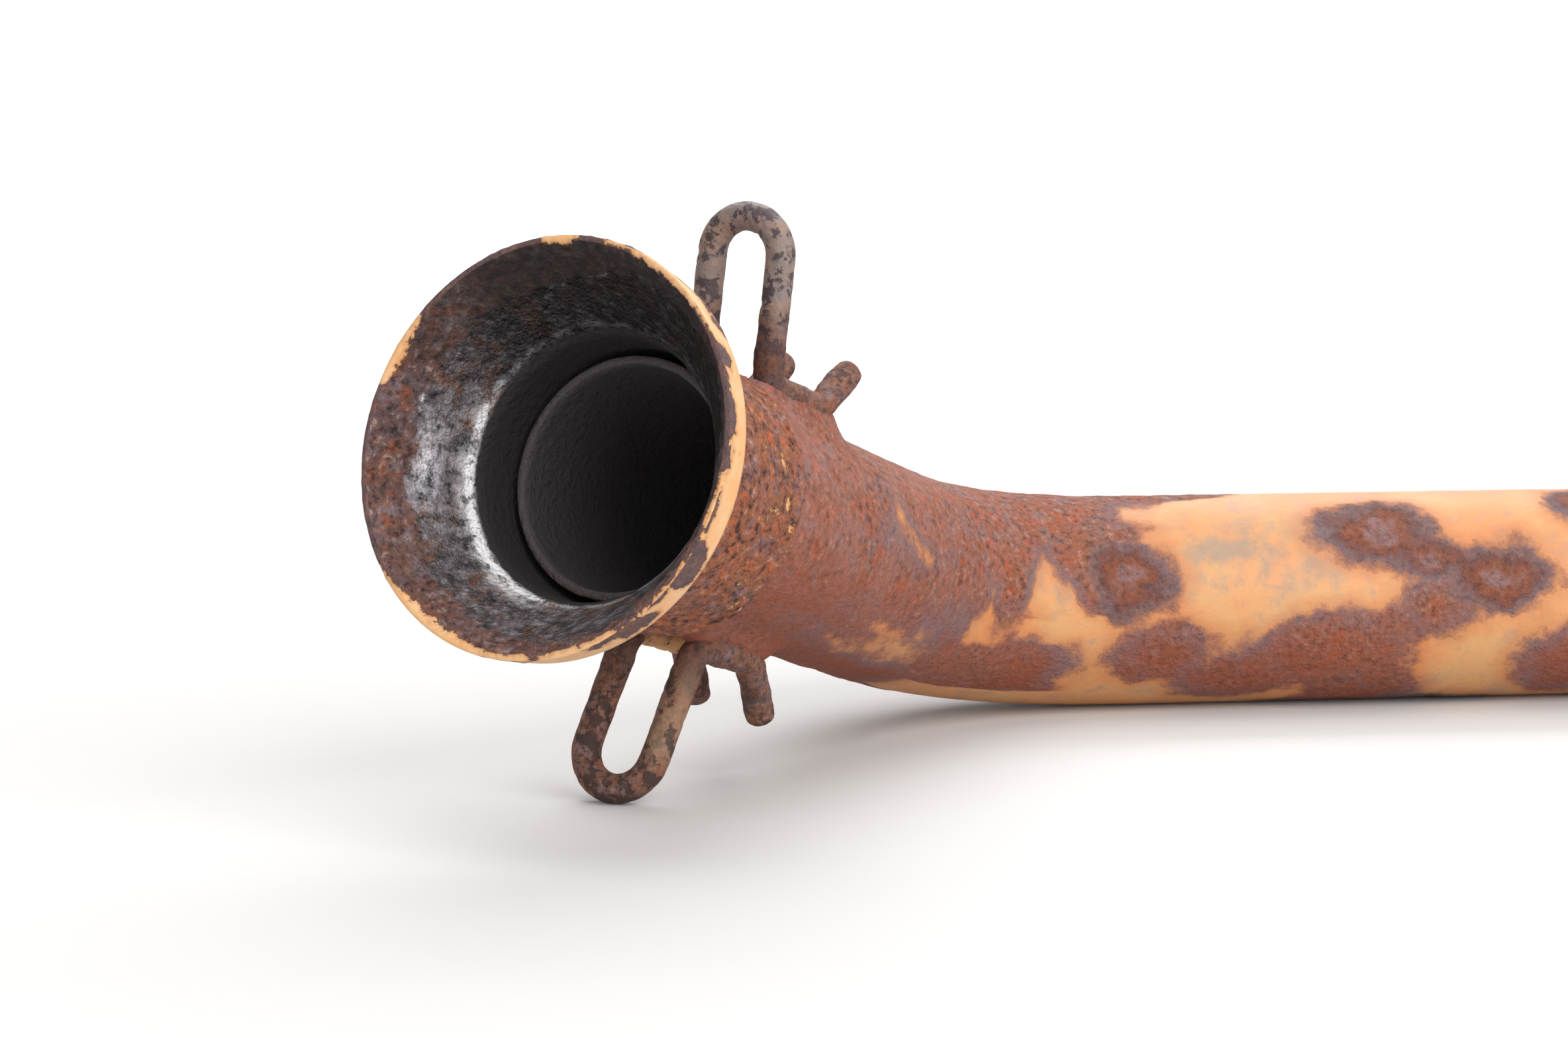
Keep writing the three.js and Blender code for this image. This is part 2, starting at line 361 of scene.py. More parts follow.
def pipeSurface():
    # Outer and inner walls as one closed sheet: rings go out along the pipe, over its cut end and back
    # inside.
    outer = np.concatenate([
        np.arange(pipe["frontEnd"] + pipe["outerRound"], pipe["clearFrom"], pipe["collarCell"]),
        np.arange(pipe["clearFrom"], pipe["clearTo"], pipe["clearCell"]),
        np.arange(pipe["clearTo"], cutEnd - 0.5, pipe["farCell"]), [cutEnd - pipe["outerRound"]]])
    inner = np.concatenate([
        [cutEnd - 0.2], np.arange(cutEnd - 1.5, pipe["deepBore"], -pipe["deepCell"]),
        np.arange(pipe["deepBore"], pipe["frontEnd"] + 1.25, -pipe["boreCell"]), [pipe["frontEnd"] + 0.2]])
    back = np.concatenate([outer, [cutEnd, cutEnd], inner, [pipe["frontEnd"], pipe["frontEnd"]]])
    bore = pipe["radius"] - pipe["wall"]
    outerEdge = pipe["radius"] - pipe["outerRound"]
    boreEdge = bore + pipe["boreRound"]
    radius = np.concatenate([
        np.full(len(outer), pipe["radius"]), [outerEdge, boreEdge], np.full(len(inner), bore),
        [boreEdge, outerEdge]])
    turns = np.arange(pipe["columns"]) * 360 / pipe["columns"]
    turn = turns[None, :]
    outside = (np.arange(len(back)) < len(outer))[:, None]
    rough = tubePoints(back, np.repeat(radius[:, None], len(turns), 1), turns)

    # The wear's outlines stray by a few mm, coarsely and finely.
    wander = layeredNoise(rough, pipeStray["size"], seed=3)
    sway = layeredNoise(rough, pipeStray["swaySize"], seed=21)
    ripple = layeredNoise(rough, pipeStray["rippleSize"], seed=7)
    row = back[:, None] + pipeStray["along"] * wander + pipeStray["rippleAlong"] * ripple
    aside = turn + (pipeStray["around"] * sway + pipeStray["rippleAround"] * ripple) / degreeMm
    hidden = unseenSpots()
    rings, ringInside = spotDistance(row, aside, ringedSpots + hidden[::2])
    _, plainInside = spotDistance(row, aside, plainSpots + hidden[1::2])
    _, patchInside = spotDistance(row, aside, paintPatches)
    edgeTurns, edges = np.array(paintEdge).T
    edge = np.interp((turn + 60) % 360 - 60, edgeTurns, edges)
    hiddenStray = pipeStray["hidden"] * layeredNoise(rough, pipeStray["hiddenSize"], seed=31, layers=2)
    hiddenStray = hiddenStray * smoothStep(185, 215, turn)
    paint = np.maximum(np.maximum((row - edge + hiddenStray) * 0.7, patchInside), peakCover(row, aside))
    paint = np.minimum(paint, np.minimum(-ringInside, -plainInside))

    # Rust stands in lumps, paint lies nearly flat, and the welds swell over both.
    crust = smoothStep(-1.0, 0.6, -paint)
    lumps = layeredNoise(rough, pipeRelief["lumpSize"], seed=40, layers=4, roughness=0.6)
    rustHeight = pipeRelief["rustLumps"] * lumps - pipeRelief["rustDip"]
    height = crust * rustHeight + (1 - crust) * pipeRelief["paintLumps"] * lumps - pipeRelief["sunk"]
    swell = weldHeight(back[:, None], turn)
    seam = seamWeld["height"] * np.exp(-((back[:, None] - seamWeld["place"]) / seamWeld["spread"]) ** 2)
    height = height * (1 - np.clip(swell, 0, 1)) + np.maximum(swell, seam) * (1 + 0.22 * lumps)
    height = np.where(outside, height, pipeRelief["boreLumps"] * lumps)
    points = tubePoints(back, radius[:, None] + height, turns)

    sooty = np.where(outside, 0.0, 1.0)
    sooty[-2:] = frontSoot
    stainLength = ((row - greyStain["place"]) / greyStain["halfLength"]) ** 2
    stainTurn = (turnApart(aside, greyStain["turn"]) / greyStain["halfTurn"]) ** 2
    maps = dict(
        paint=np.where(outside, paint, -9),
        rings=np.where(outside, rings, 9),
        soot=sooty,
        stain=np.exp(-stainLength - stainTurn),
        mouthSide=smoothStep(200, 60, back)[:, None],
        # Where the pipe's underside gets painted shade in its rust.
        low=smoothStep(95, 150, turn) * smoothStep(250, 215, turn),
    )
    return points, maps


# The flared collar: one turned profile, from the rim's inner edge over the lip and the cone's outside to the
# sleeve's end, and back inside to the throat and the flare.
collar = dict(
    rim=35.55,
    rimFace=1.1,
    lipLength=6.5,
    lipTaper=0.7,
    coneAngle=math.radians(33.5),
    coneWall=1.8,
    sleeve=24.3,
    bore=22.7,
    throatFillet=4.0,
    sleeveEnd=45.25,
    end=47.75,
    neck=21.65,
    cell=0.5,
    coneCell=0.6,
    flareCell=0.45,
    hiddenCell=1.3,
    columns=440,
)
rimInner = collar["rim"] - collar["rimFace"]
coneSlope = math.tan(collar["coneAngle"])
throatDepth = (rimInner - collar["bore"]) / coneSlope


def collarProfile():
    # Depth behind the rim and radius along the closed profile, taken at even steps along each straight or
    # arc. A straight stops a little short of its corners, which come out rounded.
    outerRim = rimInner + collar["coneWall"] / math.cos(collar["coneAngle"])
    lipBack = outerRim - coneSlope * collar["lipLength"]
    lipRadius = collar["rim"] - collar["lipTaper"]
    coneEnd = (outerRim - collar["sleeve"]) / coneSlope
    cut = collar["throatFillet"] * math.tan(collar["coneAngle"] / 2)
    arc = np.pi + collar["coneAngle"] * np.linspace(0, 1, 7)
    filletDepth = throatDepth + cut + collar["throatFillet"] * np.sin(arc)
    filletRadius = collar["bore"] + collar["throatFillet"] * (1 + np.cos(arc))
    lip = collar["lipLength"]
    sleeveEnd = collar["sleeveEnd"]
    stretches = [
        (0, rimInner + 0.15, 0, collar["rim"] - 0.2, 0.3),
        (0.2, collar["rim"], lip, lipRadius, collar["cell"]),
        (lip + 0.3, lipRadius - 0.4, lip + 0.1, lipBack + 0.3, collar["coneCell"]),
        (lip + 0.6, lipBack, coneEnd - 0.3, collar["sleeve"] + 0.2, collar["coneCell"]),
        (coneEnd + 0.6, collar["sleeve"], sleeveEnd, collar["sleeve"], collar["cell"]),
        (sleeveEnd + 0.7, collar["sleeve"] - 0.5, collar["end"], collar["neck"] + 0.5, collar["cell"]),
        (collar["end"], collar["neck"], sleeveEnd - 3, collar["neck"], collar["hiddenCell"]),
        (sleeveEnd - 4.2, collar["bore"], filletDepth[0] + 0.4, filletRadius[0], collar["hiddenCell"]),
    ]
    depth = []
    radius = []
    for startDepth, startRadius, endDepth, endRadius, step in stretches:
        count = max(2, round(math.hypot(endDepth - startDepth, endRadius - startRadius) / step) + 1)
        depth.append(np.linspace(startDepth, endDepth, count))
        radius.append(np.linspace(startRadius, endRadius, count))
    inward = round(filletDepth[-1] / math.cos(collar["coneAngle"]) / collar["flareCell"])
    flare = np.linspace(filletDepth[-1], 0.15, inward)[1:]
    depth += [filletDepth, flare]
    radius += [filletRadius, rimInner - coneSlope * flare]
    return np.concatenate(depth), np.concatenate(radius)


# Paint left on the rim's face and just inside it: stretches of degrees round the mouth,
# and how wide the paint is there in mm, from the rim's outer edge inwards.
rimPaint = [(-164, -117, 2.3), (-66, -42, 2.4), (1, 13, 2.0), (17, 66, 1.5), (106, 124, 1.3), (126, 158, 0.8),
            (158, 184, 1.5), (186, 203, 1.4)]
# Rust on the lip's painted outside: degrees round, mm behind the rim, half width in degrees and half length
# in mm.
lipRust = [
    (73.5, 0.6, 4.5, 3.2), (80, -0.4, 5, 1.3), (91, -0.2, 7.0, 2.5), (103, -0.3, 3.0, 1.7),
    (116, -0.8, 6, 1.6), (131, 1.3, 7.0, 4.0), (143, -0.6, 5, 1.7), (154, 3.2, 4.0, 2.2),
    (165, 1.6, 3.0, 1.2), (197, 3.0, 6.0, 4.0), (226, 5.2, 10.0, 2.6)]
lipPaintEnds = (38, 236)  # the lip's outside is rusted beyond these degrees
# Flakes of paint left on the sleeve: mm behind the rim, degrees round, half length in mm and half width in
# degrees.
sleeveFlakes = [
    (39, 86, 0.7, 4.5), (36.5, 105, 1.4, 1.6), (35.2, 108, 0.9, 1.0), (41, 103, 0.6, 3), (47, 99, 0.55, 4),
    (46.2, 126, 0.5, 6), (45, 121, 0.8, 2.2), (33.5, 83, 0.5, 1.2), (43, 112, 0.5, 2.5), (38, 141, 0.5, 2),
    (45.5, 60, 0.5, 3), (42, 148, 0.45, 5), (44.5, 153, 0.4, 4), (40, 230, 1.2, 6), (30, 300, 1, 5)]
# How far down the flare the thick crust reaches, by degrees round.
crustReach = [(-180, 3.6), (-152, 5.4), (-138, 6.2), (-60, 6.4), (0, 6.3), (22, 5.4), (46, 3.4), (90, 2.6),
              (150, 2.8), (180, 3.6)]
flarePits = [(-137, 7.2, 3.5, 0.8), (-116, 6.6, 4.5, 0.6), (-121, 8.7, 3, 0.8)]  # degrees, mm, half sizes
burnishedHighlight = dict(turn=-84, halfTurn=15, depth=8.6, halfDepth=2.4)  # where the steel is rubbed, with a painted highlight on it
# White ash in the throat, painted bright to stand in for the highlight along the throat's rounded edge.
throatAshHighlight = dict(turn=-112, full=26, gone=72, depth=15.6, base=0.24)  # degrees from the middle, and mm
ashHighlightVeil = dict(depth=14.4, halfDepth=1.3)  # a thin one before it
crustGlints = [(14, 30, 42), (-60, 3, 8)]  # painted glints along the crust's lower edge: middle, full and gone, in degrees
# Painted shade over the flare's upper inside, which faces down: its middle, and where it is full and gone, in
# degrees.
upperShadeSpan = dict(turn=38, full=56, gone=100)
collarRelief = dict(
    straySize=6.5,  # mm, what moves the wear's outlines
    grainSize=1.5,
    lumpSize=4.2,
    grain=0.20,  # the outside's grain and lumps, in mm
    lumps=0.17,
    sunk=0.22,  # how far each bare surface lies inside the CAD's, so that its rust stays within it
    lipSunk=0.10,
    rimSunk=0.06,
    crust=0.22,
    crustCoarser=1.5,  # how many times the outside's
    pits=0.3,
)
# A turned ridge and the weld's bead, by mm before the sleeve's end.
sleeveRidges = dict(turned=4.0, turnedWidth=0.5, turnedHeight=0.35, bead=0.9, beadWidth=1.1)


def collarSurface():
    # The profile turned about the mouth's axis, with rust standing off it along the profile's own outward
    # side.
    depth, radius = collarProfile()
    alongDepth = np.roll(depth, -1) - np.roll(depth, 1)
    alongRadius = np.roll(radius, -1) - np.roll(radius, 1)
    size = np.hypot(alongDepth, alongRadius)
    outDepth = -alongRadius / size
    outRadius = alongDepth / size
    turns = np.arange(collar["columns"]) * 360 / collar["columns"]
    angle = np.radians(turns)[None, :, None]
    spoke = np.cos(angle) * upAxis + np.sin(angle) * innerAxis
    rough = mouthCentre + depth[:, None, None] * backAxis + radius[:, None, None] * spoke
    d = depth[:, None]
    turn = (turns[None, :] + 180) % 360 - 180
    row = np.arange(len(depth))[:, None]
    turnMm = collar["rim"] * math.pi / 180

    # The profile's rows, from the rim's face over the outside to the flare.
    flareStart = len(depth) - int(np.argmax(depth[::-1] > throatDepth + 2))
    rimEnd = int(np.argmax(depth > 0.1))
    lipEnd = int(np.argmax(depth > collar["lipLength"] + 0.2))
    neckStart = int(np.argmax(depth > collar["end"] - 0.01)) + 1
    inFlare = row >= flareStart
    onRim = row < rimEnd
    onLip = (row >= rimEnd) & (row < lipEnd)
    outside = (row >= lipEnd) & (row < neckStart)
    hiddenInside = (row >= neckStart) & (row < flareStart)

    wander = layeredNoise(rough, collarRelief["straySize"], seed=51)
    grain = layeredNoise(rough, collarRelief["grainSize"], seed=60, layers=2, roughness=0.6)
    lumps = layeredNoise(rough, collarRelief["lumpSize"], seed=66, layers=3, roughness=0.55)
    shiftedTurn = turn + (1.6 * wander + 0.6 * grain) / turnMm
    shiftedDepth = d + 0.45 * wander + 0.25 * grain

    # Paint on the rim and the lip, and its flakes on the sleeve.
    faceCover = np.full(rough.shape[:2], -9.0)
    alongFlare = collar["rimFace"] + d / math.cos(collar["coneAngle"])
    fromEdge = np.where(inFlare, alongFlare, collar["rim"] - radius[:, None])
    for start, stop, widest in rimPaint:
        away = np.abs(turnApart(shiftedTurn, (start + stop) / 2)) * 2 / (stop - start)
        taper = np.sqrt(np.clip(1 - away ** 2, 0, 1))
        cover = widest * taper - fromEdge - 0.4 * (taper == 0) + 0.35 * wander * taper
        faceCover = np.maximum(faceCover, cover)
    lipMiddle = sum(lipPaintEnds) / 2
    lipHalf = (lipPaintEnds[1] - lipPaintEnds[0]) / 2
    lipCover = (lipHalf - np.abs(turnApart(shiftedTurn, lipMiddle))) * turnMm
    for spotTurn, spotDepth, halfTurn, halfLength in lipRust:
        away = np.hypot(turnApart(shiftedTurn, spotTurn) / halfTurn, (shiftedDepth - spotDepth) / halfLength)
        lipCover = np.minimum(lipCover, (away - 1) * halfLength)
    lipCover = np.minimum(lipCover, 2.2 - 3.0 * wander)
    _, flakes = spotDistance(shiftedDepth, shiftedTurn, sleeveFlakes)
    paint = np.select([inFlare, onRim, onLip, outside], [faceCover, faceCover, lipCover, flakes], -9.0)

    # Crust thick about the rim, with pits below it.
    reachTurns, reaches = np.array(crustReach).T
    reach = np.interp(turn, reachTurns, reaches) + 0.7 * wander + 0.35 * grain
    crust = np.where(inFlare, reach - d, 5.0)
    pits = np.full(rough.shape[:2], 0.0)
    for pitTurn, pitPlace, halfTurn, halfLength in flarePits:
        away = np.hypot(turnApart(turn, pitTurn) / halfTurn, (d - pitPlace) / halfLength)
        pits = np.maximum(pits, np.exp(-away ** 4))
    coarse = collarRelief["grain"] * grain + collarRelief["lumps"] * lumps
    bare = smoothStep(0.1, -0.5, paint)
    height = np.where(outside, coarse - collarRelief["sunk"], 0)
    height += np.where(onLip, bare * (0.12 * grain + 0.1 * lumps - 0.02) - collarRelief["lipSunk"], 0)
    height += np.where(onRim, bare * (0.07 * grain + 0.05) - collarRelief["rimSunk"], 0)
    thick = smoothStep(-0.8, 0.8, crust)
    smooth = 0.06 * lumps + 0.05 * grain
    thickness = collarRelief["crust"] + collarRelief["crustCoarser"] * coarse
    flareHeight = thick * thickness + (1 - thick) * smooth - collarRelief["pits"] * pits
    height += np.where(inFlare, flareHeight * smoothStep(0, 1.2, d) + 0.03 * grain, 0)
    fromRidge = (d - collar["end"] + sleeveRidges["turned"]) / sleeveRidges["turnedWidth"]
    ridge = sleeveRidges["turnedHeight"] * np.exp(-fromRidge ** 2)
    fromBead = (d - collar["end"] + sleeveRidges["bead"]) / sleeveRidges["beadWidth"]
    ridge = ridge + np.exp(-fromBead ** 2) * (0.5 + 0.5 * lumps)
    height += np.where(outside, ridge, 0)
    points = rough + height[..., None] * (
        outDepth[:, None, None] * backAxis + outRadius[:, None, None] * spoke)

    # Where the flare is rubbed, with a painted highlight; where ash lies in its throat, painted bright as the
    # rounded edge's highlight; and painted shade over its upper side.
    burnishHighlightTurn = (turnApart(turn, burnishedHighlight["turn"]) / burnishedHighlight["halfTurn"]) ** 2
    burnishHighlightDepth = ((d - burnishedHighlight["depth"]) / burnishedHighlight["halfDepth"]) ** 2
    fromAshHighlight = np.abs(turnApart(turn, throatAshHighlight["turn"])) + 12 * wander
    ashHighlightShare = smoothStep(throatAshHighlight["gone"], throatAshHighlight["full"], fromAshHighlight)
    band = (d - throatAshHighlight["depth"] - 0.3 * wander) / (0.55 + 0.40 * ashHighlightShare)
    ashHighlight = np.exp(-band ** 2) * (throatAshHighlight["base"] + (1 - throatAshHighlight["base"]) * ashHighlightShare)
    veil = np.exp(-((d - ashHighlightVeil["depth"]) / ashHighlightVeil["halfDepth"]) ** 2)
    ashHighlight = np.maximum(ashHighlight, throatAshHighlight["base"] * ashHighlightShare * veil * (1 + 0.8 * lumps))
    # Painted glints: bright lines along the crust's lower edge, carried in the same map as the ash.
    glints = 0
    for middle, full, gone in crustGlints:
        glints = glints + smoothStep(gone, full, np.abs(turnApart(turn, middle)))
    glints = glints * smoothStep(-0.1, 0.5, layeredNoise(rough, 3.0, seed=77, layers=2))
    ashHighlight = np.maximum(ashHighlight, glints * np.exp(-((d - reach - 0.3) / 0.3) ** 2))
    fromUpperShade = np.abs(turnApart(turn, upperShadeSpan["turn"])) + 8 * wander
    maps = dict(
        paint=paint,
        crust=crust,
        depth=np.where(inFlare | hiddenInside, d, 0),
        burnishHighlight=np.exp(-burnishHighlightTurn - burnishHighlightDepth),
        throat=ashHighlight,
        paintedUpperShade=smoothStep(upperShadeSpan["gone"], upperShadeSpan["full"], fromUpperShade) * inFlare,
        lip=np.where(onRim | onLip, 1.0, 0.0),
        flare=np.where(inFlare, 1.0, 0.0),
        soot=np.where(hiddenInside, 1.0, 0.0),
    )
    return points, maps


def roundedPath(corners, radii):
    # Straight lines through the corners, each inner corner turned as an arc that both its lines touch.
    points = [corners[:1]]
    for before, corner, after, radius in zip(corners, corners[1:], corners[2:], radii):
        inDirection = (corner - before) / np.linalg.norm(corner - before)
        outDirection = (after - corner) / np.linalg.norm(after - corner)
        bend = math.acos(np.clip(inDirection @ outDirection, -1, 1))
        side = outDirection - (outDirection @ inDirection) * inDirection
        side /= np.linalg.norm(side)
        turn = np.linspace(0, bend, hookRod["bendSteps"])[:, None]
        start = corner - radius * math.tan(bend / 2) * inDirection
        points.append(start + radius * (np.sin(turn) * inDirection + (1 - np.cos(turn)) * side))
    return np.concatenate(points + [corners[-1:]])


def hookSurface(hook):
    # A round rod carried along its path. On the legs, feet and pegs its sides keep to the hook's middle
    # plane, and round the loop to the loop's own plane, so the rod never twists.
    half = hookRod["legSpacing"] / 2
    footHeight = math.sqrt(footReach ** 2 - half ** 2)
    lean = math.radians(hook["lean"])
    pegAngle = math.radians(hook["pegAngle"])
    rise = (hook["loopHeight"] + pipe["radius"] - hookRod["radius"] - footHeight) / math.cos(lean)
    rising = np.array([0, -math.sin(lean), math.cos(lean)])
    pegging = np.array([0, math.sin(pegAngle), math.cos(pegAngle)])
    knee = np.array([0, hookRod["footStart"], footHeight])
    heel = knee + np.array([0, hookRod["footLength"], 0])
    oneSide = np.array([heel + hook["pegLength"] * pegging, heel, knee, knee + rise * rising])
    across = np.array([half, 0, 0])
    corners = np.concatenate([oneSide - across, oneSide[::-1] + across])
    footBends = [hookRod["footBend"]] * 2
    path = roundedPath(corners, footBends + [half - 0.01] * 2 + footBends)
    gaps = np.linalg.norm(np.diff(path, axis=0), axis=1)
    along = np.concatenate([[0], np.cumsum(gaps)])
    length = along[-1]

    # Rings at even gaps, closer at the rounded tips.
    tipRing = hookRod["tipRound"] * np.array([0.0, 0.12, 0.4, 1.0])
    evenStart = hookRod["tipRound"] * 1.6
    even = np.linspace(evenStart, length - evenStart, round(length / hookRod["ringGap"]))
    place = np.concatenate([tipRing, even, length - tipRing[::-1]])
    middle, ahead, behind = [
        np.stack([np.interp(place + shift, along, path[:, axis]) for axis in range(3)], 1)
        for shift in (0, 0.3, -0.3)]
    run = (ahead - behind) / np.linalg.norm(ahead - behind, axis=1)[:, None]
    loopSide = np.cross(rising, [1.0, 0, 0])
    onLoop = np.abs(middle[:, :1]) < half - 1e-3
    first = np.where(onLoop, np.cross(loopSide, run), -np.sign(middle[:, :1]) * np.array([1.0, 0, 0]))
    first /= np.linalg.norm(first, axis=1)[:, None]
    second = np.cross(run, first)
    fromTip = np.clip(np.minimum(place, length - place) / hookRod["tipRound"], 0, 1)
    bulge = (1 - hookRod["tipShare"]) * np.sqrt(1 - (1 - fromTip) ** 2)
    radius = hookRod["radius"] * (hookRod["tipShare"] + bulge)
    angle = np.radians(np.arange(hookRod["columns"]) * 360 / hookRod["columns"])[None, :, None]
    outward = np.cos(angle) * first[:, None] + np.sin(angle) * second[:, None]
    hookTurn = math.radians(hook["angle"])
    axes = np.array([
        math.cos(hookTurn) * innerAxis - math.sin(hookTurn) * upAxis,
        backAxis,
        math.cos(hookTurn) * upAxis + math.sin(hookTurn) * innerAxis])
    rough = mouthCentre + (middle[:, None] + radius[:, None, None] * outward) @ axes

    # Rust stands higher towards the feet, and pits are what stands out of a finer noise.
    above = middle[:, 2:3] - footHeight
    nearFoot = smoothStep(hookRod["rustTop"], hookRod["rustFull"], above)
    lumps = layeredNoise(rough, hookRod["lumpSize"], hook["seed"], roughness=0.6)
    pitNoise = layeredNoise(rough, hookRod["pitSize"], hook["seed"] + 9, layers=2)
    pits = np.maximum(pitNoise - hookRod["pitStart"], 0)
    height = (hookRod["legLumps"] + hookRod["footLumps"] * nearFoot) * lumps
    height = height - hookRod["pitDepth"] * pits + hookRod["footSwell"] * nearFoot
    points = rough + height[..., None] * (outward @ axes)
    tips = mouthCentre + middle[[0, -1]] @ axes
    pastKnee = middle[:, 1:2] - hookRod["footStart"]
    foot = smoothStep(2.4, 1.2, above) * smoothStep(0.5, 2.5, pastKnee) * smoothStep(17, 14, pastKnee)
    maps = dict(
        above=above,
        side=np.sign(middle[:, :1]),
        foot=foot * (middle[:, :1] > 0),
        fromTip=np.minimum(place, length - place)[:, None],
    )
    return points, maps, tips


# A coat of rust: two browns, then grey scale, orange, dark hollows and pale flecks over them, each with how
# much of it shows, and the sizes in mm of its patches, clouds and grit.
pipeRust = dict(base="#8e5237", second="#885544", grey=("#77686c", 0.7), orange=("#a54b26", 1.0),
                dark=("#4a2a22", 0.95), fleck=("#ad877a", 0.85), patch=3.2, cloud=4.6, grit=1.4)
outerRust = dict(base="#925638", second="#7f4b36", grey=("#75626a", 0.6), orange=("#b35a29", 1.0),
                 dark=("#321c17", 1.0), fleck=("#b98f76", 0.9), patch=3.4, cloud=5, grit=1.6)
innerRust = dict(base="#664337", second="#5d4748", grey=("#7a6b70", 0.8), orange=("#8f4a26", 0.8),
                 dark=("#241716", 0.95), fleck=("#a09087", 0.85), patch=3.6, cloud=4, grit=1.5)
rodRust = dict(base="#764c39", second="#6a4c44", grey=("#716268", 0.6), orange=("#94502a", 0.75),
               dark=("#30211d", 0.95), fleck=("#a08474", 0.5), patch=3, cloud=4, grit=1.1)
rustLayers = dict(  # the noise each layer follows, and where on it the layer starts and is full
    grey=("cloud", 0.50, 0.64), orange=("patch", 0.52, 0.64), dark=("grit", 0.49, 0.34),
    fleck=("grit", 0.56, 0.70))


def rustCoat(tree, place, coat):
    # Iron oxide grown in place: clumps of brown and orange with grey scale between them, gritty to the
    # touch. True grit is finer than the render can show, so it is drawn coarser.
    sizes = dict(
        clump=(13, 7, 0.72), patch=(coat["patch"], 6, 0.74), cloud=(coat["cloud"], 6, 0.70),
        grit=(coat["grit"], 4, 0.68))
    noise = {}
    for name, (size, detail, roughness) in sizes.items():
        noise[name] = addNode(tree, "TexNoise", {
            "Vector": place, "Scale": 1000 / size, "Detail": detail, "Roughness": roughness})
    colour = addNode(tree, "ValToRGB", {"Fac": noise["clump"]}, stops=[
        (0.36, coat["second"]), (0.50, coat["base"]), (0.64, coat["second"])])
    for layer, (name, start, full) in rustLayers.items():
        tone, most = coat[layer]
        share = addNode(tree, "MapRange", {"Value": noise[name], 1: start, 2: full, 4: most})
        colour = addNode(tree, "Mix", {0: share, 6: colour, 7: tone}, 2, data_type="RGBA")
    return colour, noise["grit"]


def finishMaterial(tree, colour, roughness, height, reliefMm, metallic=0.0):
    # The finished surface: a Principled shader whose bump stands this many mm high.
    bump = addNode(tree, "Bump", {"Height": height, "Distance": reliefMm / 1000, "Strength": 1.0})
    shader = addNode(tree, "BsdfPrincipled", {
        "Base Color": colour, "Roughness": roughness, "Metallic": metallic, "Normal": bump})
    addNode(tree, "OutputMaterial", {"Surface": shader})


def newMaterial(name, mapNames=(), noiseSizes=()):
    # An empty material, its node tree, the object's own coordinates in it, the mesh's maps by name and
    # noises by name, each from its size in mm, its detail and its roughness.
    material = bpy.data.materials.new(name)
    material.use_nodes = True
    tree = material.node_tree
    tree.nodes.clear()
    place = addNode(tree, "TexCoord", {}, "Object")
    maps = {}
    for mapName in mapNames:
        maps[mapName] = addNode(tree, "Attribute", {}, "Fac", attribute_name=mapName)
    noise = {}
    for noiseName, (size, detail, roughness) in dict(noiseSizes).items():
        noise[noiseName] = addNode(tree, "TexNoise", {
            "Vector": place, "Scale": 1000 / size, "Detail": detail, "Roughness": roughness})
    return material, tree, place, maps, noise


pipePaint = dict(
    warm="#cc8753", pale="#c5925f", greyed="#8b7f72", fringe="#ad683b", halo="#75646a", mauve="#9d7069",
    # The first tone on the next line is a darker red-brown, painted shade for the pipe's underside.
    shadedUnderRust="#88442a", soot="#4f494b",
    noise=dict(fray=(3.6, 6, 0.72), broad=(8, 5, 0.66), wash=(19, 5, 0.62)),
    rings=[(0.06, "#77564f"), (0.22, "#84686a"), (0.40, "#7c4126"), (0.58, "#5f3630"), (0.74, "#6c5657"),
           (0.94, "#7d5f52")],
)


